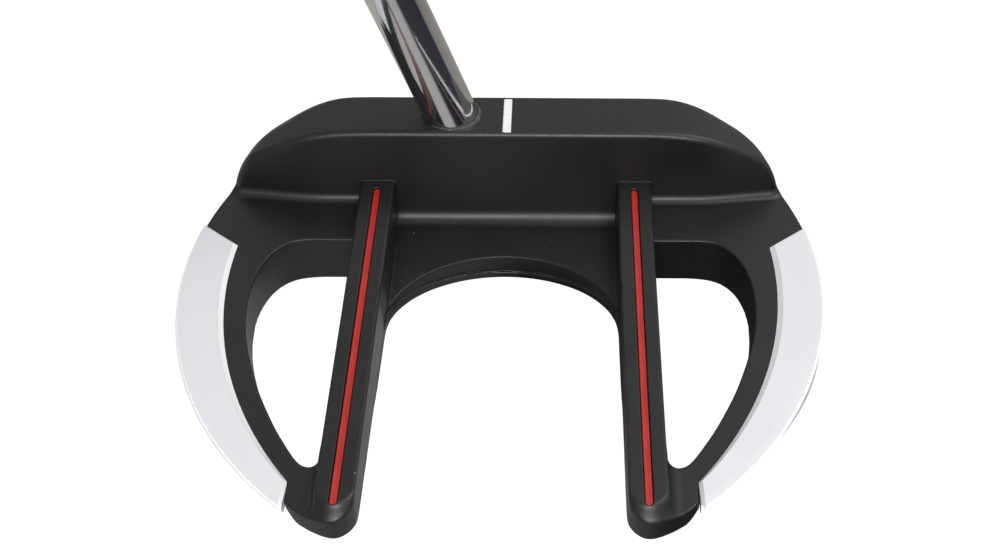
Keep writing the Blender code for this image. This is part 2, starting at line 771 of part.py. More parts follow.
# ----------------------------------------------------------------------- shaft
def make_shaft(mat):
    tip = -BORE_DEPTH + TIP_CLEAR
    radii = [SHAFT_TIP_R + (SHAFT_BUTT_R - SHAFT_TIP_R) * i / STEP_COUNT
             for i in range(STEP_COUNT + 1)]
    outer = [(radii[-1], BUTT_Z)]
    for i in range(STEP_COUNT, 0, -1):
        z = STEP_START + (i - 1) * STEP_PITCH
        outer += [(radii[i], z + STEP_RAMP), (radii[i - 1], z)]
    outer.append((SHAFT_TIP_R, tip))
    # the bore tapers evenly over the stepped length
    tip_in = SHAFT_TIP_R - SHAFT_WALL
    butt_in = SHAFT_BUTT_R - SHAFT_WALL
    inner = [(tip_in, tip), (tip_in, STEP_START),
             (butt_in, STEP_START + STEP_COUNT * STEP_PITCH), (butt_in, BUTT_Z)]
    finish(shaft_turned("shaft", outer + inner), "shaft", mat)


def make_shaft_epoxy(mat):
    """Cured adhesive between shaft and bore, cut level just below the crest."""
    glue = shaft_bar("glue", EPOXY_OUT_R, -BORE_DEPTH + EPOXY_FLOOR_CLEAR, 8)
    combine(glue, shaft_bar("glue_in", EPOXY_IN_R, -BORE_DEPTH - 2, 12), 'DIFFERENCE')
    level = prism("level", [(-40, -30), (20, -30), (20, 15), (-40, 15)],
                  HEAD_H - EPOXY_DROP, 60)
    combine(glue, level, 'DIFFERENCE')
    tidy(glue)
    finish(glue, "shaft_epoxy", mat)


# ------------------------------------------------------------------------ grip
def grip_section(s, scale=1.0):
    """Paddle section at s = 0 (butt) to 1 (mouth), flattened on its local +x side."""
    depth = 13.9 - 4.0 * s ** 0.9      # half-size along local x
    width = 13.3 - 3.5 * s ** 1.1      # half-size along local y
    flat = 12.0 - 2.4 * s              # where the flattening begins
    out = []
    for i in range(GRIP_SEG):
        angle = 2 * math.pi * i / GRIP_SEG
        sine = math.sin(angle)
        x = depth * math.cos(angle)
        y = width * math.copysign(abs(sine) ** 0.9, sine)
        if x > flat:
            x = flat + (x - flat) * 0.12
        out.append((x * scale, y * scale))
    return out


def make_grip(mat):
    rings = [ring_at(grip_section(1.0, MOUTH_SCALE), GRIP_LOW_Z),
             ring_at(grip_section(1.0), GRIP_LOW_Z + MOUTH_LENGTH)]
    for i in range(1, GRIP_LEVELS + 1):
        s = 1 - i / GRIP_LEVELS
        rings.append(ring_at(grip_section(s), GRIP_LOW_Z + (1 - s) * GRIP_LENGTH))
    grip = loft("grip", rings, SHAFT)
    bore = shaft_bar("grip_bore", GRIP_BORE_R, GRIP_LOW_Z - 5, BUTT_Z + 5, seg=48)
    combine(grip, bore, 'DIFFERENCE')
    tidy(grip)
    finish(grip, "grip", mat)


def make_grip_tape(mat):
    top = BUTT_Z - TAPE_TOP_IN
    low = GRIP_LOW_Z + TAPE_LOW_IN
    sleeve = shaft_turned("grip_tape", [(TAPE_OUT_R, top), (TAPE_OUT_R, low),
                                        (TAPE_IN_R, low), (TAPE_IN_R, top)])
    finish(sleeve, "grip_tape", mat)


def make_grip_cap(mat):
    rings = [ring_at(grip_section(0.0, scale), BUTT_Z + z) for z, scale in BUTT_LEVELS]
    cap = loft("grip_cap", rings, SHAFT)
    combine(cap, shaft_bar("vent", VENT_R, BUTT_Z - 5, BUTT_Z + 12, seg=24), 'DIFFERENCE')
    tidy(cap)
    finish(cap, "grip_cap", mat)


# ------------------------------------------------------------------- all pieces
make_head(material("satin_black_paint", colour=(0.020, 0.020, 0.022), roughness=0.48))
make_caps(material("white_cap", colour=(0.80, 0.80, 0.81), roughness=0.38))
make_cap_adhesive(material("clear_bond", colour=(0.46, 0.46, 0.43), roughness=0.55))
make_sight_lines(material("red_paint_fill", colour=(0.44, 0.020, 0.018), roughness=0.40))
make_alignment_mark(material("white_paint_fill", colour=(0.78, 0.78, 0.77), roughness=0.45))
make_shaft(material("chrome_steel", colour=(0.62, 0.62, 0.63), roughness=0.08, metallic=1.0))
make_shaft_epoxy(material("grey_epoxy", colour=(0.20, 0.21, 0.19), roughness=0.50))
make_grip(material("black_rubber", colour=(0.022, 0.022, 0.023), roughness=0.80))
make_grip_tape(material("grip_tape", colour=(0.62, 0.55, 0.38), roughness=0.85))
make_grip_cap(material("butt_rubber", colour=(0.030, 0.030, 0.031), roughness=0.70))

# from the leading edge to the frame's own origin
move = Matrix.Translation((0, SOLE_MID * MM, 0))
for obj in list(parts.objects) + list(cutters.objects):
    obj.data.transform(move)
    obj.data.update()
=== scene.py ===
"""A mallet putter: a black casting with two wings and an open centre, white wing caps,
red sight lines, and a chrome shaft with a rubber grip.

The club stands on its sole. +Y points out of the striking face, +X to the toe, +Z up.
Shapes are worked out in millimetres with y = 0 at the leading edge; the mesh makers
move them forward by SOLE_MID and turn them to metres. Most of the head is mirrored in x.
"""

import math

import bmesh
import bpy
import numpy as np
from mathutils import Matrix, Vector


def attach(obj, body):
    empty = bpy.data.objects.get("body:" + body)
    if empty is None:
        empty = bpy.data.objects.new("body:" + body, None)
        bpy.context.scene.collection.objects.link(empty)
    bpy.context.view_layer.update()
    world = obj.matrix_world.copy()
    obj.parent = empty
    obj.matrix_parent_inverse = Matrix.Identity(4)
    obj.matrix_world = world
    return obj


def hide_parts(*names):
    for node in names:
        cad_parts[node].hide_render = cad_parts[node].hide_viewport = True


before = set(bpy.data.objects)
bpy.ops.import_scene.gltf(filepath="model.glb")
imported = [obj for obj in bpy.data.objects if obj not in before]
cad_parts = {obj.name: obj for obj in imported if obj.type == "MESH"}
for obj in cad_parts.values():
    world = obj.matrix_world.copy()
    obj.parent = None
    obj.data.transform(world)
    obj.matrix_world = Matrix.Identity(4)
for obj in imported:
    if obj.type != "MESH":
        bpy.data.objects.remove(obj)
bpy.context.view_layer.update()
scene = bpy.context.scene

MM = 0.001
SOLE_MID = 8.0            # the origin sits this far behind the leading edge

# ------------------------------------------------------------ head dimensions
LOFT = math.tan(math.radians(3.0))
HEAD_H = 25.0
FLOOR_Z = 10.8            # top of the side floors, under the caps' level
POCKET_Z = 6.5            # lower floor around the centre opening
FACE_R = 1.5              # edge between face and crest at the centre
FACE_R_GROWTH = 6.2       # added to it towards toe and heel
REAR_Y, REAR_LEAN = -13.0, 0.105        # back of the front block at the crest, and its slope
END_Z, END_SLOPE, END_R = 11.0, 5.5, 3.0    # the block's steep toe and heel ends
# arcs as centre x, centre y, radius
WING_ARC = (-9.4, -35.9, 64.7)          # outer edge of wing and cap
CAP_ARC = (-24.97, -34.37, 72.5)        # inner edge of the cap
RAIL_X, RAIL_HALF, RAIL_R = 23.3, 3.15, 3.1
RAIL_TOP, RAIL_END = 13.6, -88.6
FOOT_X = 30.85            # outer side of the foot at a wing's rear end
GROOVE_R = 0.68           # sight line groove along a rail
GROOVE_FRONT, GROOVE_BACK = -16.7, -85.9
MARK_X, MARK_HALF = 0.28, 0.77          # mark on the crest
MARK_FRONT, MARK_BACK = -2.6, -12.35

CAP_FRONT_IN = (47.3, -27.3)
CAP_FRONT_OUT = (53.9, -22.0)
CAP_LENGTH = 68.5
CAP_SKIRT = 1.3           # thickness of the outer skirt
CAP_SEAT = 1.3            # depth of the cap below the floor
CAP_CHAMFER = 0.85
CAP_LIP, CAP_SLOPE = 0.06, 0.84         # height at the edge, and gained over the chamfer
CAP_EDGE_R = 0.45

# ----------------------------------------------- shaft and grip dimensions
SHAFT_AT = (-9.95, -7.1)  # where the shaft's axis crosses the crest
LIE = math.radians(71.0)
BORE_R, BORE_DEPTH = 4.87, 17.9
CLUB_LEN, BUTT_THICK, GRIP_LEN = 889.0, 4.5, 268.0
BUTT = CLUB_LEN - HEAD_H / math.sin(LIE) - BUTT_THICK    # shaft end, along the axis
SHAFT_START = -17.0
SHAFT_STEPS = [215.0 + 38.0 * i for i in range(10)]
STEP_LEN = 0.6
TIP_R, BUTT_R = 4.7, 7.35
SHAFT_WALL = 0.5
SHAFT_SIDES = 96
GRIP_SIDES = 128
GRIP_BORE = 7.6

# height of the front block's crest: (distance from the centreline, z)
CREST = (
    (0.0, 25.0), (26.0, 25.0), (30.0, 24.82), (33.0, 24.53), (35.5, 24.05),
    (37.5, 23.4), (39.5, 22.5), (41.5, 21.5), (43.5, 20.4), (45.5, 19.3),
    (47.4, 18.2), (49.0, 17.0), (50.5, 15.6), (52.0, 13.6), (60.0, 4.0),
)


def soften(points, rounds=2):
    """Open polyline with its corners cut again and again, ends kept."""
    for _ in range(rounds):
        out = [points[0]]
        for (ax, ay), (bx, by) in zip(points, points[1:]):
            out += [(0.75 * ax + 0.25 * bx, 0.75 * ay + 0.25 * by),
                    (0.25 * ax + 0.75 * bx, 0.25 * ay + 0.75 * by)]
        points = out + [points[-1]]
    return points


# outlines as (x, y): the wing's window at the floor and, a little smaller, at the sole
WINDOW_TIP = [
    (34.3, -70.0), (31.8, -74.05), (30.4, -76.1), (29.3, -77.1),
    (28.1, -77.4), (26.95, -76.95), (26.5, -75.9), (26.45, -74.0),
]
WINDOW = [(26.45, -25.6)] + soften([
    (33.3, -25.6), (35.6, -25.6), (37.6, -26.05), (39.0, -27.0), (40.3, -28.4),
    (41.4, -30.2), (42.3, -32.6), (42.95, -35.3), (43.25, -38.1), (43.3, -40.8),
    (43.2, -43.5), (42.65, -47.9), (41.5, -52.6), (40.05, -57.1), (38.4, -61.6),
    (36.45, -65.8)] + WINDOW_TIP)
WINDOW_LOW = [(26.45, -25.85)] + soften([
    (33.0, -25.85), (35.7, -26.15), (37.6, -26.8), (39.1, -28.0), (40.4, -29.9),
    (41.5, -32.8), (42.15, -36.2), (42.5, -40.0), (42.5, -43.0), (42.15, -47.7),
    (41.2, -52.5), (39.8, -57.0), (38.2, -61.5), (36.3, -65.7)] + WINDOW_TIP)
# outline that ends the wing at the rear, round the foot between cap and rail
FOOT = [(60, 10), (60, -80), (FOOT_X + 0.9, -80)] + soften([
    (FOOT_X + 0.6, -83.6), (30.5, -84.75), (29.2, -85.95), (27.9, -86.8), (26.7, -87.5),
    (25.5, -88.1), (24.4, -88.5), (23.4, -88.65), (22.5, -88.4), (21.7, -87.85),
    (21.0, -87.1), (20.4, -86.0), (20.1, -84.7), (20.0, -83.0),
]) + [(20.0, -60.0), (-5, -60.0), (-5, 10)]

FRONT_DIR = Vector((CAP_FRONT_OUT[0] - CAP_FRONT_IN[0],
                    CAP_FRONT_OUT[1] - CAP_FRONT_IN[1])).normalized()
# the shaft's frame: along it, and across it
AXIS_Z = np.array((-math.cos(LIE), 0.0, math.sin(LIE)))
AXIS_X = np.array((math.sin(LIE), 0.0, math.cos(LIE)))
AXIS_Y = np.array((0.0, 1.0, 0.0))
BASE = np.array((SHAFT_AT[0], SHAFT_AT[1], HEAD_H))


# --------------------------------------------------------------- field helpers
def polygon_field(x, y, points):
    """Signed distance to a closed polygon, negative inside; rough when far outside."""
    all_x, all_y = np.array(points).T
    off = np.hypot(np.maximum(np.maximum(all_x.min() - x, x - all_x.max()), 0),
                   np.maximum(np.maximum(all_y.min() - y, y - all_y.max()), 0))
    near = off < 2.5
    out = off.astype(float)
    x, y = x[near], y[near]
    best = np.full(x.shape, 1e9)
    inside = np.zeros(x.shape, bool)
    for (ax, ay), (bx, by) in zip(points, points[1:] + points[:1]):
        dx, dy = bx - ax, by - ay
        t = np.clip(((x - ax) * dx + (y - ay) * dy) / (dx * dx + dy * dy), 0, 1)
        best = np.minimum(best, (x - ax - t * dx) ** 2 + (y - ay - t * dy) ** 2)
        if dy != 0:
            inside ^= ((ay > y) != (by > y)) & (x < (bx - ax) * (y - ay) / dy + ax)
    distance = np.sqrt(best)
    out[near] = np.where(inside, -distance, distance)
    return out


def join(a, b, radius):
    """Union with a fillet in the inside corner."""
    u = np.maximum(radius - a, 0)
    v = np.maximum(radius - b, 0)
    return np.maximum(radius, np.minimum(a, b)) - np.sqrt(u * u + v * v)


def meet(a, b, radius):
    """Intersection with a rounded outside corner."""
    return -join(-a, -b, radius)


def cut(a, b, radius):
    """a with b taken away, edge rounded."""
    return meet(a, -b, radius)


def ease(value, start, over):
    """Smooth step from 0 at start to 1 a distance over further on (negative: backwards)."""
    t = np.clip((value - start) / over, 0, 1)
    return t * t * (3 - 2 * t)


def under(y):
    """Height of the sole, rising to the rear."""
    return 4.7 * ease(y, start=-15.0, over=-28.0) + 0.053 * np.maximum(0.0, -35.0 - y)


def lift(y):
    """Extra height of the wing's lower edge towards the rear, under the caps."""
    return 2.2 * ease(y, start=-48.0, over=-30.0) + 1.2 * ease(y, start=-68.0, over=-14.0)


def rail_top(y):
    """The rails' flat tops rise a little towards the front block."""
    return RAIL_TOP + 1.3 * np.clip((y + 89.0) / 75.0, 0, 1)


def smooth_crest():
    """The crest stations as a dense table, run through two moving averages."""
    x = np.linspace(0, 60, 2400)
    z = np.interp(x, *zip(*CREST))
    for width in (2.2, 1.8):
        half = int(width / (x[1] - x[0]))
        kernel = np.ones(2 * half + 1) / (2 * half + 1)
        padded = np.concatenate([np.full(half, z[0]), z, np.full(half, z[-1])])
        z = np.convolve(padded, kernel, "valid")
    return x, z


FINE_X, FINE_Z = smooth_crest()
FINE_SLOPE = np.gradient(FINE_Z, FINE_X)


def arch_field(x, y, half, depth, middle):
    """Centre opening: half an ellipse ahead of middle, straight walls behind it."""
    dy = y - middle
    q = np.hypot(x / half, dy / depth)
    slope = np.hypot(x / half ** 2, dy / depth ** 2) / np.maximum(q, 1e-6)
    ellipse = (q - 1) / np.maximum(slope, 1e-6)
    return np.where(y > middle, ellipse, np.abs(x) - half)


def rail_field(across, y):
    """Outline of a rail with a round rear end."""
    side = np.abs(across - RAIL_X) - RAIL_HALF + RAIL_R
    end = (RAIL_END - y) + RAIL_R
    return (np.minimum(np.maximum(side, end), 0)
            + np.hypot(np.maximum(side, 0), np.maximum(end, 0)) - RAIL_R)


def plan_fields(x, y):
    """Everything of the head that depends on x and y alone."""
    across = np.abs(x)
    cap_front = ((across - CAP_FRONT_IN[0]) * -FRONT_DIR.y
                 + (y - CAP_FRONT_IN[1]) * FRONT_DIR.x)
    cap_rear = FOOT_X + 0.27 - across
    on_groove = np.clip(y, GROOVE_BACK, GROOVE_FRONT)
    return {
        "wing": np.hypot(across - WING_ARC[0], y - WING_ARC[1]) - WING_ARC[2],
        "cap_inner": CAP_ARC[2] - np.hypot(across - CAP_ARC[0], y - CAP_ARC[1]),
        "cap_ends": np.maximum(cap_front, cap_rear) - 0.04,
        "foot": polygon_field(across, y, FOOT),
        "window": polygon_field(across, y, WINDOW),
        "window_low": polygon_field(across, y, WINDOW_LOW),
        "rail": rail_field(across, y),
        "arch": arch_field(x, y, half=20.15, depth=17.25, middle=-43.0),
        "arch_low": arch_field(x, y, half=19.95, depth=19.4, middle=-45.0),
        "mark": np.maximum(np.abs(x - MARK_X) - MARK_HALF,
                           np.maximum(MARK_BACK - y, y - MARK_FRONT)),
        "groove": np.hypot(across - RAIL_X, y - on_groove) - GROOVE_R,
    }


def block_field(plan, across, y, z):
    """Front block behind the face."""
    crest = np.interp(across, FINE_X, FINE_Z)
    tilt = np.interp(across, FINE_X, FINE_SLOPE)
    top = (z - crest) / np.sqrt(1 + tilt ** 2)
    end = (z - END_Z + END_SLOPE * plan["wing"]) / math.sqrt(1 + END_SLOPE ** 2)
    face = (y + z * LOFT) / math.sqrt(1 + LOFT ** 2)
    bend = 1.9 * ease(across, start=33.0, over=21.0)
    rear = (REAR_Y + bend - REAR_LEAN * (HEAD_H - z) - y) / math.sqrt(1 + REAR_LEAN ** 2)
    block = meet(top, end, END_R)
    block = meet(block, face, FACE_R + FACE_R_GROWTH * ease(across, start=28.5, over=17.0))
    block = meet(block, rear, 1.0 + 1.2 * ease(across, start=44.0, over=6.0))
    return meet(block, plan["wing"], radius=0.8)


def bore_field(x, y, z):
    """Tilted hole for the shaft."""
    dx, dy, dz = x - SHAFT_AT[0], y - SHAFT_AT[1], z - HEAD_H
    along = dx * AXIS_Z[0] + dz * AXIS_Z[2]
    radial = np.sqrt(np.maximum(dx * dx + dy * dy + dz * dz - along * along, 0))
    return np.maximum(radial - BORE_R, -BORE_DEPTH - along)


def head_field(plan, x, y, z):
    """Signed field of the head casting; negative inside."""
    across = np.abs(x)
    wing = plan["wing"]
    low = under(y)
    block = block_field(plan, across, y, z)
    # floors, each with its own fillet against the block
    outline = meet(wing, plan["foot"], radius=0.8)
    side = meet(join(block, z - FLOOR_Z, radius=1.5),
                np.maximum(outline, 20.15 - across), radius=0.35)
    pocket = np.maximum(np.maximum(wing, -80.0 - y), join(block, z - POCKET_Z, radius=2.4))
    body = np.minimum(np.minimum(side, pocket), block)
    # rails, rounder and more blended towards the rear
    rail = meet(plan["rail"], z - rail_top(y), 0.55 + 3.5 * ease(y, start=-84.0, over=-4.6))
    body = join(body, rail, 0.12 + 0.25 * ease(y, start=-20.0, over=-6.0)
                + 1.9 * ease(y, start=-71.0, over=-9.0))
    body = meet(body, plan["foot"], radius=0.3)
    # openings: walls run from the upper outline to the lower one
    t = np.clip((POCKET_Z - z) / np.maximum(POCKET_Z - low, 0.5), 0, 1)
    arch = plan["arch"] + t * (plan["arch_low"] - plan["arch"])
    body = cut(body, arch, radius=0.28)
    # step round the front of the arch, left standing below
    step = 0.45 * ease(y, start=-46.0, over=8.0)
    body = cut(body, np.maximum(arch - step, low + 1.5 - z), radius=0.20)
    t = np.clip((FLOOR_Z - z) / (FLOOR_Z - low), 0, 1)
    body = cut(body, plan["window"] + t * (plan["window_low"] - plan["window"]), radius=0.28)
    # cap seat and skirt clearance
    seat = np.maximum(plan["cap_ends"], plan["cap_inner"] + 0.28)
    body = cut(body, np.maximum(seat, (FLOOR_Z - CAP_SEAT - 0.3) - z), radius=0.10)
    rim = np.maximum(plan["cap_ends"], -(wing + CAP_SKIRT + 0.05))
    body = cut(body, rim, radius=0.12)
    # underside, raised along the wing's outer edge
    raised = ease(wing, start=-7.0, over=5.0) * ease(across, start=FOOT_X - 1.9, over=4.2)
    body = meet(body, low + lift(y) * raised - z, radius=0.5)
    # grooves, mark and bore
    body = cut(body, np.maximum(plan["groove"], rail_top(y) - 0.95 - z), radius=0.14)
    body = cut(body, np.maximum(plan["mark"], HEAD_H - 0.75 - z), radius=0.10)
    return cut(body, bore_field(x, y, z), radius=0.12)


# -------------------------------------------------------------- surface maker
def spaced(stops, scale):
    """Grid coordinates from (start, step) stops; the last one ends the grid."""
    out = []
    for (a, step), (b, _) in zip(stops, stops[1:]):
        n = max(1, int(round((b - a) / (step * scale))))
        out += [a + (b - a) * i / n for i in range(n)]
    out.append(stops[-1][0])
    return np.array(out)


CORNERS = [(i, j, k) for i in (0, 1) for j in (0, 1) for k in (0, 1)]


def surface_nets(values, grids):
    """Surface nets on a box grid: vertices (n, 3) and quads (m, 4)."""
    inside = values < 0
    ones = inside.astype(np.uint8)
    nx, ny, nz = (n - 1 for n in ones.shape)
    count = sum(ones[i:nx + i, j:ny + j, k:nz + k] for i, j, k in CORNERS)
    active = (count > 0) & (count < 8)
    cells = np.argwhere(active)
    index = np.full(active.shape, -1, np.int64)
    index[active] = np.arange(len(cells))
    # a vertex is the mean of its cell's edge crossings
    at_corner = np.stack([values[cells[:, 0] + i, cells[:, 1] + j, cells[:, 2] + k]
                          for i, j, k in CORNERS], 1)
    total = np.zeros((len(cells), 3))
    hits = np.zeros(len(cells))
    for a in range(8):
        for b in range(a + 1, 8):
            if sum(p != q for p, q in zip(CORNERS[a], CORNERS[b])) != 1:
                continue
            value_a, value_b = at_corner[:, a], at_corner[:, b]
            crossed = (value_a < 0) != (value_b < 0)
            t = np.where(crossed, value_a / np.where(crossed, value_a - value_b, 1.0), 0.0)
            start = np.array(CORNERS[a], float)
            end = np.array(CORNERS[b], float)
            total += np.where(crossed[:, None], start + t[:, None] * (end - start), 0.0)
            hits += crossed
    local = total / hits[:, None]
    verts = np.empty_like(local)
    for axis, grid in enumerate(grids):
        cell = cells[:, axis]
        verts[:, axis] = grid[cell] + local[:, axis] * (grid[cell + 1] - grid[cell])
    # a quad round every grid edge that crosses the surface
    quads = []
    for axis in range(3):
        u, w = [d for d in range(3) if d != axis]
        lower = [slice(1, -1)] * 3
        upper = [slice(1, -1)] * 3
        lower[axis] = slice(0, -1)
        upper[axis] = slice(1, None)
        a, b = inside[tuple(lower)], inside[tuple(upper)]
        for flip in (False, True):
            edges = np.argwhere((~a & b) if flip else (a & ~b))
            edges[:, u] += 1
            edges[:, w] += 1
            around = []
            for du, dw in ((-1, -1), (0, -1), (0, 0), (-1, 0)):
                cell = edges.copy()
                cell[:, u] += du
                cell[:, w] += dw
                around.append(index[cell[:, 0], cell[:, 1], cell[:, 2]])
            quad = np.stack(around, 1)
            if flip != (axis == 1):
                quad = quad[:, ::-1]
            quads.append(quad)
    return verts, np.concatenate(quads)


def gradient(points, field, h=0.02):
    out = np.empty_like(points)
    for axis in range(3):
        offset = np.zeros(3)
        offset[axis] = h
        out[:, axis] = (field(points + offset) - field(points - offset)) / (2 * h)
    return out


def project(points, field, rounds):
    """Moves points onto the field's zero surface and gives their normals."""
    points = points.copy()
    for _ in range(rounds):
        grad = gradient(points, field)
        steepness = np.maximum((grad * grad).sum(1), 0.25)
        step = -(field(points) / steepness)[:, None] * grad
        points += np.clip(step, -0.2, 0.2)
    grad = gradient(points, field)
    return points, grad / np.maximum(np.linalg.norm(grad, axis=1), 1e-9)[:, None]


def add_object(name, data):
    obj = bpy.data.objects.new(name, data)
    scene.collection.objects.link(obj)
    return obj


def quad_object(name, verts, quads, normals):
    """Smooth object from arrays in millimetres."""
    mesh = bpy.data.meshes.new(name)
    verts = verts + (0.0, SOLE_MID, 0.0)
    n = len(quads)
    mesh.vertices.add(len(verts))
    mesh.vertices.foreach_set("co", (verts * MM).astype(np.float32).ravel())
    mesh.loops.add(n * 4)
    mesh.loops.foreach_set("vertex_index", quads.astype(np.int32).ravel())
    mesh.polygons.add(n)
    mesh.polygons.foreach_set("loop_start", (np.arange(n) * 4).astype(np.int32))
    mesh.update(calc_edges=True)
    mesh.validate()
    mesh.shade_smooth()
    mesh.normals_split_custom_set_from_vertices(normals.astype(np.float32))
    return add_object(name, mesh)


# grid stops as (start, step), finer where the head has small features
GRID_X = ((0, .36), (0.6, .12), (1.05, .36), (19.7, .2), (22.45, .13), (24.4, .2),
          (27.0, .36), (55.9, .36))
GRID_Y = ((-90.6, .2), (-86.0, .36), (-32.0, .25), (-24.0, .36), (-16.5, .25),
          (-11.6, .36), (-3.4, .22), (0.6, .3))
GRID_Z = ((-0.7, .25), (1.4, .36), (5.4, .25), (7.0, .36), (9.0, .3), (10.3, .18),
          (11.3, .36), (12.3, .16), (13.9, .36), (23.8, .16), (25.4, .2))
SLAB = 30                 # grid columns worked out at a time, to save memory


def build_head():
    scale = 1.0
    half = spaced(GRID_X, scale)
    xs = np.concatenate([-half[:0:-1], half])
    ys = spaced(GRID_Y, scale)
    zs = spaced(GRID_Z, scale)
    values = np.empty((len(xs), len(ys), len(zs)), np.float32)
    for i in range(0, len(xs), SLAB):
        x, y = np.meshgrid(xs[i:i + SLAB], ys, indexing="ij")
        plan = {name: v[:, :, None] for name, v in plan_fields(x, y).items()}
        values[i:i + SLAB] = head_field(plan, x[:, :, None], y[:, :, None], zs[None, None, :])
    verts, quads = surface_nets(values, (xs, ys, zs))

    def field(points):
        x, y, z = points.T
        return head_field(plan_fields(x, y), x, y, z)
    verts, normals = project(verts, field, rounds=2)
    return quad_object("head", verts, quads, normals)


def loft(name, rings, angle, wrap=False, crease=None):
    """Tube of equal rings in millimetres.

    wrap joins the last ring to the first; otherwise both ends are filled.
    crease holds a value for every point, stored as a vertex attribute.
    angle is the sharp edge limit in degrees.
    """
    mesh = bpy.data.meshes.new(name)
    bm = bmesh.new()
    layer = bm.verts.layers.float.new("crease") if crease else None
    rows = [[bm.verts.new(Vector((x, y + SOLE_MID, z)) * MM) for x, y, z in ring]
            for ring in rings]
    if crease:
        for row, marks in zip(rows, crease):
            for vert, mark in zip(row, marks):
                vert[layer] = mark
    n = len(rows[0])
    for a, b in zip(rows, rows[1:] + (rows[:1] if wrap else [])):
        for i in range(n):
            bm.faces.new((a[i], a[(i + 1) % n], b[(i + 1) % n], b[i]))
    if not wrap:
        bm.faces.new(rows[0][::-1])
        bm.faces.new(rows[-1])
    bmesh.ops.recalc_face_normals(bm, faces=bm.faces)
    bm.to_mesh(mesh)
    bm.free()
    mesh.shade_smooth()
    mesh.set_sharp_from_angle(angle=math.radians(angle))
    return add_object(name, mesh)


# ------------------------------------------------------------------- wing caps
def cap_angles(arc):
    """Angles at which an arc meets the cap's front edge and its rear end."""
    cx, cy, radius = arc
    dx, dy = CAP_FRONT_IN[0] - cx, CAP_FRONT_IN[1] - cy
    b = dx * FRONT_DIR.x + dy * FRONT_DIR.y
    c = dx * dx + dy * dy - radius * radius
    s = -b + math.sqrt(b * b - c)
    front = math.atan2(CAP_FRONT_IN[1] + FRONT_DIR.y * s - cy,
                       CAP_FRONT_IN[0] + FRONT_DIR.x * s - cx)
    rear_x = FOOT_X + 0.3 - cx
    return front, math.atan2(-math.sqrt(radius ** 2 - rear_x ** 2), rear_x)


def cap_point(arc, t):
    """Point on an arc, t running from 0 at the cap's front to 1 at its rear."""
    cx, cy, radius = arc
    front, rear = cap_angles(arc)
    angle = front + (rear - front) * t
    return cx + radius * math.cos(angle), cy + radius * math.sin(angle)


def crease_mark(inset):
    """-1 on the chamfer, 1 on its upper line, 0 on the flat; these place the cap's painted
    highlight (chamfer) and painted shade (upper line).
    """
    if abs(inset - CAP_CHAMFER) < 1e-6:
        return 1.0
    return -1.0 if inset < CAP_CHAMFER else 0.0


def chamfer_height(inset):
    return CAP_LIP + CAP_SLOPE * min(1.0, inset / CAP_CHAMFER)


def build_cap(side, end):
    """Shell with a chamfered top, lofted from the front edge to the rear end."""
    edge_steps = [0.0, 0.03, 0.2, 0.42, 0.64, 0.80, CAP_CHAMFER, 0.90, 1.0]
    middle = [1.6 + (CAP_LENGTH - 3.2) * k / 84 for k in range(85)]
    stations = edge_steps + middle + [CAP_LENGTH - t for t in edge_steps[::-1]]
    bottom = FLOOR_Z - CAP_SEAT - 0.1
    base = FLOOR_Z + 0.02
    rings, marks = [], []
    for station in stations:
        inner_x, inner_y = cap_point(CAP_ARC, station / CAP_LENGTH)
        outer_x, outer_y = cap_point(WING_ARC, station / CAP_LENGTH)
        width = math.hypot(outer_x - inner_x, outer_y - inner_y)
        ux, uy = (outer_x - inner_x) / width, (outer_y - inner_y) / width
        from_end = min(station, CAP_LENGTH - station)
        rise = chamfer_height(from_end)
        end_mark = crease_mark(from_end)
        raised = float(lift(outer_y))
        skirt_z = float(under(outer_y)) + 0.45 + raised
        lean = 0.36 * min(raised, 2.2)
        ring, mark = [], []

        def add(u, z, value=-1.0):
            ring.append((side * (inner_x + ux * u), inner_y + uy * u, z))
            mark.append(value)
        # inner wall and chamfered inner edge
        add(0.45, bottom)
        add(0.45, base)
        add(0.02, base)
        for u in edge_steps:
            add(u, base + min(rise, chamfer_height(u)), crease_mark(min(u, from_end)))
        # flat top and rounded outer edge
        for q in (0.35, 0.7):
            add(1.0 + (width - 2.0) * q, base + rise, end_mark)
        for j in range(6):
            a = math.pi / 2 * j / 5
            add(width - CAP_EDGE_R + CAP_EDGE_R * math.sin(a),
                base + rise - CAP_EDGE_R + CAP_EDGE_R * math.cos(a),
                end_mark if j == 0 else -1.0)
        # skirt down the outside and back up
        top = base + rise - CAP_EDGE_R
        for q in (0.33, 0.66):
            add(width - lean * q, top + (skirt_z + 0.3 - top) * q)
        add(width - lean, skirt_z + 0.08)
        add(width - lean - 0.02, skirt_z + 0.04)
        add(width - lean - 0.08, skirt_z)
        add(width - CAP_SKIRT, skirt_z)
        add(width - CAP_SKIRT, bottom)
        rings.append(ring)
        marks.append(mark)
    return loft(f"wing_cap_{end}_shell", rings, angle=25, crease=marks)


# --------------------------------------------------------------- paint fills
def groove_ring(x, radius, drop, n=14, straight=24):
    """Long round-ended outline, drop below the rail's top."""
    front, back = GROOVE_FRONT, GROOVE_BACK
    turns = [math.pi * i / n for i in range(n + 1)]
    points = [(x + radius * math.cos(a), front + radius * math.sin(a)) for a in turns]
    points += [(x - radius, front + (back - front) * k / straight) for k in range(1, straight)]
    points += [(x - radius * math.cos(a), back - radius * math.sin(a)) for a in turns]
    points += [(x + radius, back + (front - back) * k / straight) for k in range(1, straight)]
    return [(px, py, float(rail_top(py)) - drop) for px, py in points]


# (radius, drop below the rail's top), from the bottom to the dished top's centre
LINE_RINGS = ((0.56, 0.93), (0.57, 0.44), (0.56, 0.36), (0.52, 0.30), (0.46, 0.27),
              (0.37, 0.28), (0.24, 0.31), (0.11, 0.33))
# (inset from the slot's sides, depth below the crest)
MARK_RINGS = ((0.03, 0.72), (0.02, 0.12), (0.07, 0.055), (0.16, 0.04), (0.3, 0.045))


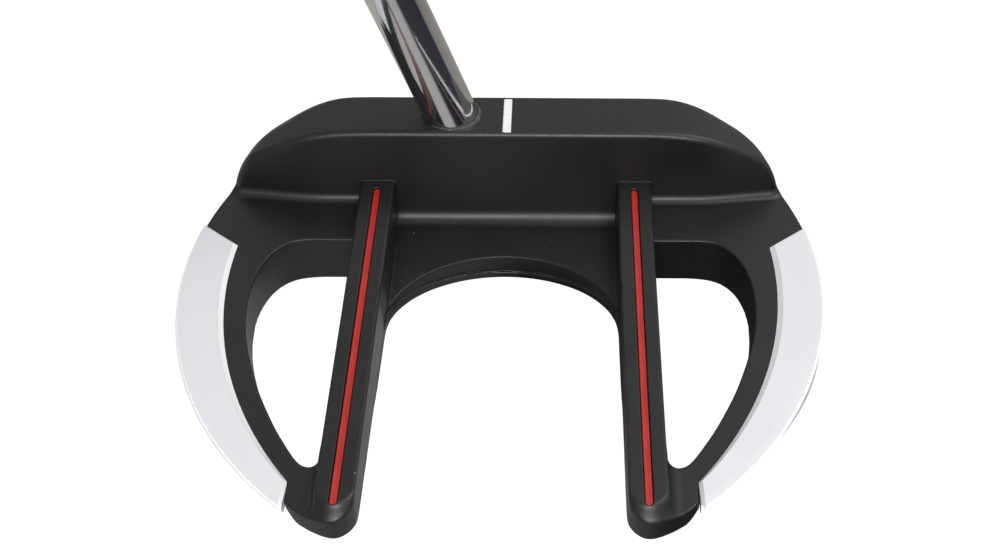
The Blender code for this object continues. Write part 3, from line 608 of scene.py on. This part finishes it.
def build_line(side, end):
    rings = [groove_ring(side * RAIL_X, radius, drop) for radius, drop in LINE_RINGS]
    return loft(f"sight_fill_{end}", rings, angle=50)


def build_mark():
    """Fill of the crest's slot: rounded rectangles."""
    r = 0.12
    rings = []
    for inset, depth in MARK_RINGS:
        x = MARK_HALF - inset - r
        front, back = MARK_FRONT - inset - r, MARK_BACK + inset + r
        ring = []
        for quarter, (cx, cy) in enumerate(((x, front), (-x, front), (-x, back), (x, back))):
            for j in range(4):
                a = math.pi / 2 * (quarter + j / 3)
                ring.append((MARK_X + cx + r * math.cos(a), cy + r * math.sin(a),
                             HEAD_H - depth))
        rings.append(ring)
    return loft("crest_mark_fill", rings, angle=50)


# -------------------------------------------------------- shaft, ring and grip
def ring_at(s, points):
    """Points of a section placed at s along the shaft, measured from the crest."""
    return [tuple(BASE + AXIS_Z * s + AXIS_X * x + AXIS_Y * y) for x, y in points]


def circle(radius, n):
    return [(radius * math.cos(2 * math.pi * i / n), radius * math.sin(2 * math.pi * i / n))
            for i in range(n)]


def scaled(points, k):
    return [(x * k, y * k) for x, y in points]


def shaft_radius(s):
    def part(start, length):
        return min(1.0, max(0.0, (s - start) / length))
    tip_growth, taper_growth = 0.08, 0.10
    radius = TIP_R + tip_growth * part(0.0, 18.0) + taper_growth * part(18.0, 180.0)
    step_growth = (BUTT_R - TIP_R - tip_growth - taper_growth) / len(SHAFT_STEPS)
    for start in SHAFT_STEPS:
        radius += step_growth * part(start, STEP_LEN)
    return radius


def build_shaft():
    """Stepped tube with slightly broken edges at both ends."""
    stations = [SHAFT_START, -16.9, 0.0, 12.0] + [24.0 + 16.0 * i for i in range(12)]
    for start in SHAFT_STEPS:
        stations += [start + d for d in (0, 0.2, 0.4, STEP_LEN, 13, 26)]
    stations += [BUTT - 30, BUTT - 0.3, BUTT]
    rings = []
    for s in stations:
        broken = 0.12 if s in (SHAFT_START, BUTT) else 0.0
        rings.append(ring_at(s, circle(shaft_radius(s) - broken, SHAFT_SIDES)))
    for s in (BUTT, 400.0, SHAFT_STEPS[0], SHAFT_START):
        rings.append(ring_at(s, circle(shaft_radius(s) - SHAFT_WALL, SHAFT_SIDES)))
    return loft("shaft_tube", rings, angle=8, wrap=True)


# (radius, height over the crest, unevenness in height, one-sided swelling of the radius)
EPOXY_RINGS = (
    (4.78, -0.9, 0, 0), (4.78, 0.28, 0.08, 0), (4.80, 0.24, 0.08, 0.12),
    (4.83, 0.15, 0.06, 0.28), (4.86, 0.05, 0.03, 0.38), (4.88, -0.03, 0.0, 0.40),
    (4.86, -0.12, 0.0, 0), (4.85, -0.20, 0.0, 0), (4.85, -0.9, 0, 0),
)


def build_epoxy():
    """Cured epoxy with a small uneven meniscus where the shaft leaves the crest."""
    rings = []
    for radius, height, wobble, swell in EPOXY_RINGS:
        ring = []
        for i in range(SHAFT_SIDES):
            t = 2 * math.pi * i / SHAFT_SIDES
            rough = (math.cos(t) + 0.5 * math.sin(3 * t + 0.7) + 0.4 * math.sin(7 * t + 2.1)
                     + 0.3 * math.sin(17 * t))
            bulge = (0.25 + 0.75 * math.cos(t + 0.35) + 0.10 * math.sin(11 * t)
                     + 0.07 * math.sin(23 * t))
            r = radius + swell * max(0.0, bulge)
            point = BASE + AXIS_X * (r * math.cos(t)) + AXIS_Y * (r * math.sin(t))
            # level with the crest: slide along the shaft's axis until z is reached
            s = (HEAD_H + height + wobble * rough - point[2]) / AXIS_Z[2]
            ring.append(tuple(point + AXIS_Z * s))
        rings.append(ring)
    return loft("shaft_epoxy_ring", rings, angle=60, wrap=True)


def grip_section(s):
    """Grip outline with a flat on its +x side; s runs from 0 at the butt to 1."""
    depth = 13.9 - 4.0 * s ** 0.9
    width = 13.3 - 3.5 * s ** 1.1
    flat = 12.0 - 2.4 * s
    out = []
    for i in range(GRIP_SIDES):
        t = 2 * math.pi * i / GRIP_SIDES
        x = depth * math.cos(t)
        y = width * math.copysign(abs(math.sin(t)) ** 0.9, math.sin(t))
        if x > flat:
            x = flat + (x - flat) * 0.12
        out.append((x, y))
    return out


def grip_relief(z, t):
    """Moulded depth of the grip's surface, z from its lower end, t round it."""
    full_turn = 2 * math.pi
    off = 0.0
    # ring grooves near both ends
    for groove in (9.0, 12.0, GRIP_LEN - 10.0):
        off -= 0.35 * math.exp(-((z - groove) / 0.55) ** 2)
    # shallow channels down both sides of the flat
    if 16 < z < GRIP_LEN - 16:
        for channel in (0.86, full_turn - 0.86):
            off -= 0.30 * math.exp(-((t - channel) / 0.035) ** 2)
    # cross ribs round the back
    rib_from, pitch = 1.25, 4.9
    if 18 < z < GRIP_LEN - 18 and rib_from < t < full_turn - rib_from:
        fade = min(1.0, (t - rib_from) / 0.25, (full_turn - rib_from - t) / 0.25)
        fade *= min(1.0, (z - 18) / 3, (GRIP_LEN - 18 - z) / 3)
        off -= 0.16 * fade * (0.5 + 0.5 * math.cos(full_turn * z / pitch)) ** 3
    return off


def build_grip():
    low = BUTT - GRIP_LEN
    count = 330
    bore = circle(GRIP_BORE, GRIP_SIDES)
    rings = [ring_at(low + 8, bore), ring_at(low + 0.25, bore)]
    # rounded lower lip: (height, scale)
    for z, k in ((0, 0.88), (0.15, 0.93), (0.6, 0.975)):
        rings.append(ring_at(low + z, scaled(grip_section(1.0), k)))
    for step in range(count + 1):
        z = 1.3 + (GRIP_LEN - 2.0) * step / count
        ring = []
        for i, (x, y) in enumerate(grip_section(1 - z / GRIP_LEN)):
            k = 1 + grip_relief(z, 2 * math.pi * i / GRIP_SIDES) / math.hypot(x, y)
            ring.append((x * k, y * k))
        rings.append(ring_at(low + z, ring))
    rings.append(ring_at(BUTT + 0.02, scaled(grip_section(0.0), 0.985)))
    rings.append(ring_at(BUTT + 0.02, bore))
    return loft("grip_sleeve", rings, angle=45, wrap=True)


VENT_R = 1.35
# (scale of the grip's section, height)
BUTT_RINGS = ((0.96, 0.1), (0.995, 0.35), (1.0, 0.7), (1.0, 2.2), (0.985, 3.0), (0.95, 3.7),
              (0.88, 4.2), (0.76, 4.48), (0.6, 4.55), (0.42, 4.50))
# dished centre with a raised ring and the vent: (radius, height)
DISH_RINGS = ((4.6, 4.35), (4.2, 4.0), (3.3, 3.9), (2.6, 3.95), (2.2, 4.2), (1.8, 4.22),
              (1.45, 4.05), (VENT_R, 3.7))


def build_butt():
    rings = [ring_at(BUTT + 0.1, circle(VENT_R, GRIP_SIDES))]
    rings += [ring_at(BUTT + z, scaled(grip_section(0.0), k)) for k, z in BUTT_RINGS]
    rings += [ring_at(BUTT + z, circle(radius, GRIP_SIDES)) for radius, z in DISH_RINGS]
    return loft("grip_butt", rings, angle=40, wrap=True)


ENDS = ((1, "toe"), (-1, "heel"))
head = build_head()
cap_toe, cap_heel = [build_cap(side, end) for side, end in ENDS]
line_toe, line_heel = [build_line(side, end) for side, end in ENDS]
mark = build_mark()
shaft = build_shaft()
epoxy = build_epoxy()
grip = build_grip()
butt = build_butt()


# ------------------------------------------------------------------- materials
class Shader:
    """A node tree with short calls for the nodes used here."""

    def __init__(self, tree):
        self.tree = tree

    def feed(self, socket, value):
        """Links an output to the socket, or sets its value."""
        if isinstance(value, bpy.types.NodeSocket):
            self.tree.links.new(value, socket)
        elif socket.type == 'RGBA':
            socket.default_value = (*value, 1)
        else:
            socket.default_value = value

    def node(self, kind, inputs=None, **props):
        made = self.tree.nodes.new(kind)
        for name, value in props.items():
            setattr(made, name, value)
        for name, value in (inputs or {}).items():
            self.feed(made.inputs[name], value)
        return made

    def ramp(self, source, stops):
        """Colour ramp through (position, grey or colour) stops."""
        made = self.node("ShaderNodeValToRGB", {0: source})
        elements = made.color_ramp.elements
        while len(elements) < len(stops):
            elements.new(0.5)
        for element, (position, value) in zip(elements, stops):
            element.position = position
            element.color = (*value, 1) if isinstance(value, tuple) else (value,) * 3 + (1,)
        return made.outputs[0]

    def grade(self, source, low, high, start=0.0, end=1.0):
        """Start up to source value low, end from high on."""
        return self.ramp(source, [(low, start), (high, end)])

    def mix(self, factor, start, end):
        inputs = {0: factor, 6: start, 7: end}
        return self.node("ShaderNodeMix", inputs, data_type='RGBA').outputs[2]

    def maths(self, operation, a, b=0.0, clamp=False):
        inputs = {0: a, 1: b}
        return self.node("ShaderNodeMath", inputs, operation=operation,
                         use_clamp=clamp).outputs[0]

    def times(self, a, b, clamp=False):
        return self.maths('MULTIPLY', a, b, clamp)

    def coat(self, base, mask, strength, colour):
        """Colour laid over base where mask is set."""
        return self.mix(self.times(mask, strength), base, colour)


class Surface(Shader):
    """A new material; textured ones work in object coordinates."""

    def __init__(self, name, textured=True):
        self.material = bpy.data.materials.new(name)
        self.material.use_nodes = True
        super().__init__(self.material.node_tree)
        self.bsdf = self.tree.nodes["Principled BSDF"]
        self.normal = None
        if textured:
            self.vector = self.node("ShaderNodeTexCoord").outputs["Object"]

    def set(self, name, value):
        self.feed(self.bsdf.inputs[name], value)

    def noise(self, scale, detail=2.0, rough=0.5, vector=None):
        inputs = {"Scale": scale, "Detail": detail, "Roughness": rough,
                  "Vector": vector or self.vector}
        return self.node("ShaderNodeTexNoise", inputs).outputs[0]

    def voronoi(self, **inputs):
        return self.node("ShaderNodeTexVoronoi", {**inputs, "Vector": self.vector})

    def stretched(self, **inputs):
        """Object coordinates through a mapping."""
        return self.node("ShaderNodeMapping", {**inputs, "Vector": self.vector}).outputs[0]

    def edges(self, start, full):
        """Mask of convex edges."""
        pointiness = self.node("ShaderNodeNewGeometry").outputs["Pointiness"]
        return self.ramp(pointiness, [(0.0, 0.0), (start, 0.0), (full, 1.0)])

    def bump(self, height, strength, depth):
        """Adds a bump on top of earlier ones, depth in millimetres."""
        inputs = {"Strength": strength, "Distance": depth * MM, "Height": height}
        if self.normal:
            inputs["Normal"] = self.normal
        self.normal = self.node("ShaderNodeBump", inputs).outputs[0]
        self.set("Normal", self.normal)


def black_paint():
    """Satin paint with orange peel, dust specks, and convex edges lighter in patches: partly
    wear, partly a painted edge highlight.
    """
    s = Surface("satin_black_paint")
    fine = s.noise(scale=3200, detail=3, rough=0.6)
    orange = s.noise(scale=900)
    broad = s.noise(scale=70, detail=3, rough=0.55)
    # dust: a speck of random size in some of the cells
    cells = s.voronoi(Scale=210.0)
    cell_hash = s.node("ShaderNodeSeparateColor", {0: cells.outputs["Color"]})
    chosen = s.maths('GREATER_THAN', cell_hash.outputs[0], 0.35)
    size = s.times(cell_hash.outputs[1], 0.035)
    speck = s.maths('LESS_THAN', cells.outputs["Distance"], s.maths('ADD', size, 0.012))
    dust = s.times(chosen, speck)
    patches = s.ramp(s.noise(scale=500, detail=4, rough=0.7),
                     [(0.0, 0.0), (0.45, 0.0), (0.75, 1.0)])
    # convex edges in patches: partly wear, partly a painted highlight along the edges
    edge_wear_and_highlight = s.times(s.edges(start=0.515, full=0.60), patches)
    base = s.mix(s.grade(broad, low=0.3, high=0.7),
                 start=(0.0055, 0.0055, 0.0062), end=(0.0078, 0.0075, 0.0078))
    # painted edge highlight with some wear: lighter grey laid on those edges
    base = s.coat(base, edge_wear_and_highlight, strength=0.35, colour=(0.045, 0.044, 0.043))
    base = s.coat(base, dust, strength=0.45, colour=(0.30, 0.29, 0.27))
    s.set("Base Color", base)
    rough = s.grade(fine, low=0.25, high=0.75, start=0.31, end=0.44)
    s.set("Roughness", s.coat(rough, s.grade(broad, low=0.35, high=0.7),
                              strength=0.35, colour=(0.56, 0.56, 0.56)))
    s.set("Specular IOR Level", 0.5)
    s.bump(orange, strength=0.22, depth=0.05)
    s.bump(fine, strength=0.30, depth=0.02)
    s.bump(dust, strength=0.6, depth=0.03)
    return s.material


def white_cap():
    """White shell, with a painted highlight on the chamfer and painted shade along its upper
    line.
    """
    s = Surface("white_cap")
    crease = s.node("ShaderNodeAttribute", attribute_name="crease").outputs["Fac"]
    broad = s.noise(scale=60, detail=3, rough=0.6)
    fine = s.noise(scale=2200, detail=3, rough=0.6)
    scuff = s.noise(scale=420, detail=5, rough=0.75)
    # mask of the chamfer, where a painted highlight goes
    painted_chamfer_light = s.times(crease, -1.0, clamp=True)
    # mask of the chamfer's upper crease, where painted shade goes
    painted_crease_shade = s.times(crease, 1.0, clamp=True)
    base = s.mix(s.grade(broad, low=0.3, high=0.7),
                 start=(0.625, 0.633, 0.655), end=(0.65, 0.656, 0.673))
    # painted highlight: the chamfer is coloured lighter than the flat top
    base = s.mix(painted_chamfer_light, base, end=(0.88, 0.885, 0.90))
    base = s.coat(base, s.grade(scuff, low=0.62, high=0.78),
                  strength=0.10, colour=(0.55, 0.54, 0.52))
    # painted shade: grey line along the chamfer's upper crease
    base = s.coat(base, painted_crease_shade, strength=0.55, colour=(0.36, 0.37, 0.40))
    s.set("Base Color", base)
    s.set("Roughness", s.grade(fine, low=0.3, high=0.7, start=0.30, end=0.42))
    s.bump(s.noise(scale=650), strength=0.10, depth=0.04)
    s.bump(fine, strength=0.10, depth=0.015)
    return s.material


def fill_paint(name, light, dark, rough):
    """Brushed-in paint, streaked along y."""
    s = Surface(name)
    broad = s.noise(scale=240, detail=4, rough=0.6)
    streaks = s.stretched(Scale=(1.0, 0.12, 1.0))
    brush = s.noise(scale=1500, detail=3, rough=0.6, vector=streaks)
    grain = s.noise(scale=5200)
    s.set("Base Color", s.mix(s.grade(broad, low=0.35, high=0.65), dark, light))
    s.set("Roughness", s.grade(brush, low=0.3, high=0.7, start=rough - 0.08, end=rough + 0.1))
    s.bump(brush, strength=0.25, depth=0.03)
    s.bump(grain, strength=0.15, depth=0.01)
    return s.material


def chrome():
    """Chrome with faint drawing lines along the shaft."""
    s = Surface("chrome_steel")
    along = s.stretched(Rotation=(0.0, math.pi / 2 - LIE, 0.0), Scale=(1.0, 1.0, 0.03))
    drawn = s.noise(scale=2600, detail=3, rough=0.6, vector=along)
    wave = s.noise(scale=90)
    mist = s.noise(scale=800, detail=5, rough=0.7)
    s.set("Base Color", s.mix(s.grade(mist, low=0.4, high=0.8),
                              start=(0.66, 0.66, 0.67), end=(0.58, 0.58, 0.585)))
    s.set("Metallic", 1.0)
    s.set("Roughness", s.grade(mist, low=0.35, high=0.8, start=0.045, end=0.13))
    s.bump(drawn, strength=0.035, depth=0.02)
    s.bump(wave, strength=0.05, depth=0.2)
    return s.material


def dull(name, light, dark, rough, scale, grain, depth):
    """Matt, mottled material; scale and grain are the coarse and fine noise scales."""
    s = Surface(name)
    broad = s.noise(scale=scale, detail=4, rough=0.6)
    fine = s.noise(scale=grain, detail=3, rough=0.65)
    s.set("Base Color", s.mix(s.grade(broad, low=0.3, high=0.7), dark, light))
    s.set("Roughness", s.grade(fine, low=0.3, high=0.7, start=rough - 0.08, end=rough + 0.08))
    s.bump(fine, strength=0.5, depth=depth)
    s.bump(broad, strength=0.2, depth=depth * 2)
    return s.material


def grip_rubber():
    """Moulded rubber with a fine knurl of small pits."""
    s = Surface("black_rubber")
    pits = s.voronoi(Scale=900.0, Randomness=0.35)
    fine = s.noise(scale=3500, detail=3, rough=0.65)
    broad = s.noise(scale=40, detail=4, rough=0.6)
    edge = s.edges(start=0.51, full=0.62)
    base = s.mix(s.grade(broad, low=0.3, high=0.7),
                 start=(0.017, 0.017, 0.018), end=(0.024, 0.024, 0.025))
    s.set("Base Color", s.coat(base, edge, strength=0.5, colour=(0.05, 0.05, 0.05)))
    s.set("Roughness", s.grade(fine, low=0.3, high=0.7, start=0.62, end=0.82))
    s.bump(pits.outputs["Distance"], strength=0.55, depth=0.10)
    s.bump(fine, strength=0.35, depth=0.03)
    return s.material


PAINT = black_paint()
WHITE = white_cap()
RED = fill_paint("red_paint_fill", light=(0.40, 0.017, 0.011), dark=(0.31, 0.012, 0.009),
                 rough=0.46)
MARK_WHITE = fill_paint("white_paint_fill", light=(0.80, 0.80, 0.79),
                        dark=(0.72, 0.72, 0.71), rough=0.42)
CHROME = chrome()
EPOXY = dull("grey_epoxy", light=(0.085, 0.085, 0.070), dark=(0.014, 0.015, 0.013),
             rough=0.62, scale=1700, grain=3600, depth=0.10)
RUBBER = grip_rubber()
HARD = dull("butt_rubber", light=(0.030, 0.030, 0.031), dark=(0.020, 0.020, 0.021),
            rough=0.66, scale=90, grain=2600, depth=0.04)
TAPE = dull("grip_tape_paper", light=(0.66, 0.58, 0.40), dark=(0.56, 0.48, 0.33),
            rough=0.85, scale=300, grain=3000, depth=0.05)
BOND = dull("clear_bond", light=(0.50, 0.50, 0.46), dark=(0.42, 0.42, 0.39),
            rough=0.50, scale=400, grain=2500, depth=0.03)


def dress(piece, material):
    piece.data.materials.clear()
    piece.data.materials.append(material)


# piece, material, slot, the CAD part it replaces
for piece, material, slot, part in (
    (head, PAINT, "satin_black_paint", "head_body"),
    (cap_toe, WHITE, "white_cap", "wing_cap_toe"),
    (cap_heel, WHITE, "white_cap", "wing_cap_heel"),
    (line_toe, RED, "red_paint_fill", "sight_line_toe"),
    (line_heel, RED, "red_paint_fill", "sight_line_heel"),
    (mark, MARK_WHITE, "white_paint_fill", "alignment_mark"),
    (shaft, CHROME, "chrome_steel", "shaft"),
    (epoxy, EPOXY, "grey_epoxy", "shaft_epoxy"),
    (grip, RUBBER, "black_rubber", "grip"),
    (butt, HARD, "butt_rubber", "grip_cap"),
):
    dress(piece, material)
    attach(piece, "root")
    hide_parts(part)
# CAD pieces that stay as they are
for name, material in (("grip_tape", TAPE), ("cap_adhesive_toe", BOND),
                       ("cap_adhesive_heel", BOND)):
    dress(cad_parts[name], material)

# ----------------------------------------------------------------- the studio
scene.view_settings.view_transform = 'Standard'

# what reflections see of the floor: (turn about the shaft's foot from -x, colour)
FLOOR_CARDS = [
    (0.0, (.50, .49, .465)), (0.20, (.50, .49, .475)), (0.27, (.50, .50, .50)),
    (0.30, (.46, .46, .47)), (0.325, (.03, .032, .042)), (0.50, (.035, .036, .045)),
    (0.52, (.34, .325, .295)), (0.73, (.36, .34, .31)), (0.78, (.50, .49, .465)),
    (1.0, (.50, .49, .465)),
]
# dimming of the cards: (metres from the shaft's foot, brightness)
FLOOR_FALL = [(0.0, 1.0), (0.12, 1.0), (0.35, 0.62), (1.0, 0.6)]
# brightness of the sky: (0 straight down to 1 straight up, brightness)
SKY = [(0.0, 0.45), (0.5, 0.42), (0.62, 0.46), (0.80, 0.62), (0.90, 0.54), (1.0, 0.45)]


def floor_material():
    """Shines white to the eye, softer onto the piece, with grey cards for reflections."""
    s = Surface("pale_floor", textured=False)
    s.set("Base Color", (0.86, 0.86, 0.86))
    s.set("Roughness", 0.9)
    s.set("Specular IOR Level", 0.0)
    rays = s.node("ShaderNodeLightPath")
    position = s.node("ShaderNodeNewGeometry").outputs["Position"]
    where = s.node("ShaderNodeSeparateXYZ", {0: position})
    dx = s.maths('ADD', where.outputs[0], -SHAFT_AT[0] * MM)
    dy = s.maths('ADD', where.outputs[1], -(SHAFT_AT[1] + SOLE_MID) * MM)
    turns = s.maths('DIVIDE', s.maths('ARCTAN2', dy, dx), 2 * math.pi)
    cards = s.ramp(s.maths('ADD', turns, 0.5), FLOOR_CARDS)
    away = s.maths('SQRT', s.maths('ADD', s.times(dx, dx), s.times(dy, dy)))
    cards = s.mix(s.ramp(away, FLOOR_FALL), (0.0, 0.0, 0.0), cards)
    shade = s.mix(rays.outputs["Is Glossy Ray"], (0.50, 0.50, 0.49), cards)
    shade = s.mix(rays.outputs["Is Camera Ray"], shade, (1.1, 1.1, 1.1))
    glow = s.node("ShaderNodeEmission", {"Strength": 1.0, "Color": shade})
    share_of_glow = 0.985
    blend = s.node("ShaderNodeMixShader",
                   {0: share_of_glow, 1: s.bsdf.outputs[0], 2: glow.outputs[0]})
    s.feed(s.tree.nodes["Material Output"].inputs["Surface"], blend.outputs[0])
    return s.material


def build_floor():
    mesh = bpy.data.meshes.new("floor")
    bm = bmesh.new()
    bmesh.ops.create_grid(bm, x_segments=1, y_segments=1, size=6.0)
    bm.to_mesh(mesh)
    bm.free()
    floor = add_object("floor", mesh)
    floor.location = (0, 0, -0.0006)
    mesh.materials.append(floor_material())


def build_world():
    """Grey dome, brighter towards the toe, white to the camera."""
    world = bpy.data.worlds.new("studio")
    scene.world = world
    world.use_nodes = True
    s = Shader(world.node_tree)
    rays = s.node("ShaderNodeLightPath")
    sky = s.node("ShaderNodeTexCoord").outputs["Generated"]
    direction = s.node("ShaderNodeSeparateXYZ", {0: sky})
    height = s.maths('ADD', s.times(direction.outputs[2], 0.5), 0.5)
    dome = s.ramp(height, SKY)
    toeward = s.maths('ADD', s.times(direction.outputs[0], 0.35), 1.0)
    dome = s.mix(1.0, (0.0, 0.0, 0.0), s.times(dome, toeward))
    colour = s.mix(rays.outputs["Is Camera Ray"], dome, (1.05, 1.05, 1.05))
    background = s.tree.nodes["Background"]
    s.feed(background.inputs["Color"], colour)
    s.feed(background.inputs["Strength"], 1.0)


def area(name, place, aim, size, energy):
    """Rectangular light in metres and watts."""
    light = bpy.data.lights.new(name, 'AREA')
    light.shape = 'RECTANGLE'
    light.size, light.size_y = size
    light.energy = energy
    obj = add_object(name, light)
    obj.location = place
    obj.rotation_euler = (Vector(aim) - Vector(place)).to_track_quat('-Z', 'Y').to_euler()


def build_camera():
    """Looks forward and down on the head from behind and above."""
    pitch, yaw, roll = (math.radians(v) for v in (43.50005, 0.8906084, 0.855183))
    forward = Vector((math.sin(yaw) * math.cos(pitch), math.cos(yaw) * math.cos(pitch),
                      -math.sin(pitch)))
    level = Vector((math.cos(yaw), -math.sin(yaw), 0))
    upright = level.cross(forward)
    right = level * math.cos(roll) + upright * math.sin(roll)
    up = upright * math.cos(roll) - level * math.sin(roll)
    pose = Matrix((right, up, -forward)).transposed().to_4x4()
    pose.translation = Vector((10.3557, -218.89 + SOLE_MID, 185.1655)) * MM
    data = bpy.data.cameras.new("camera")
    data.lens = 52.4413944
    data.sensor_width = 36.0
    data.shift_x = -0.078914
    data.clip_start = 0.005
    data.clip_end = 50.0
    camera = add_object("camera", data)
    camera.matrix_world = pose
    scene.camera = camera


build_floor()
build_world()
area("softbox", place=(0.03, -0.46, 0.38), aim=(0, -0.03, 0.015), size=(0.30, 0.13), energy=2.1)
area("top", place=(0.38, 0.06, 0.72), aim=(0, -0.03, 0.01), size=(0.5, 0.5), energy=2.3)
build_camera()
